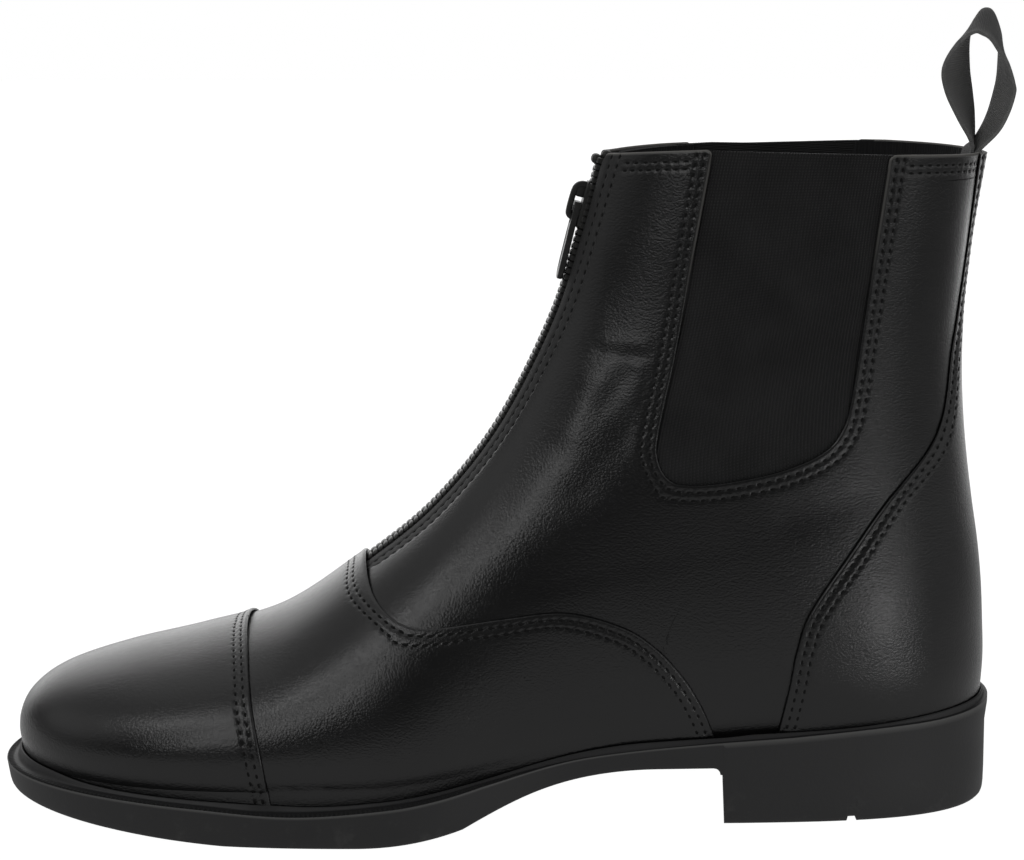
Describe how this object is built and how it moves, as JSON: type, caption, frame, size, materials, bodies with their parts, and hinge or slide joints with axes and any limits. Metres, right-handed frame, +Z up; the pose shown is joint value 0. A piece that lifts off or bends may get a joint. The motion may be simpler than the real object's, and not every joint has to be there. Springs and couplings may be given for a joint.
{
  "type": "front-zip ankle boot",
  "caption": "Left ankle boot with a front zip, elastic side gores, toe cap, heel counter, pull loop and a moulded rubber sole with a low heel.",
  "frame": {"origin": "centre of the bounding box on the floor under the sole", "axes": "+X from toe to heel, +Y to the inner side of the foot, +Z up"},
  "size_m": [0.29, 0.1026, 0.2276],
  "materials": {
    "rubber": "satin moulded rubber",
    "lining": "matt woven lining",
    "leather": "smooth black with a fine grain and a satin sheen",
    "elastic": "matt ribbed weave",
    "metal": "black lacquered",
    "webbing": "twill webbing"
  },
  "bodies": {
    "boot": {"outsole": "rubber", "insole": "lining", "upper": "leather", "toe_cap": "leather", "vamp": "leather", "counter": "leather", "gore_lateral": "elastic", "gore_medial": "elastic", "zip_tape": "elastic", "zip_chain": "metal", "zip_slider": "metal", "pull_loop": "webbing"},
    "tab": {"pull_tab": "metal"}
  },
  "joints": [
    {"name": "pull_tab_hinge", "type": "hinge", "parent": "boot", "child": "tab", "pos_m": [0.02228, 0.00015, 0.17287], "axis": [0, 1, 0], "range_deg": [0, 140]}
  ]
}
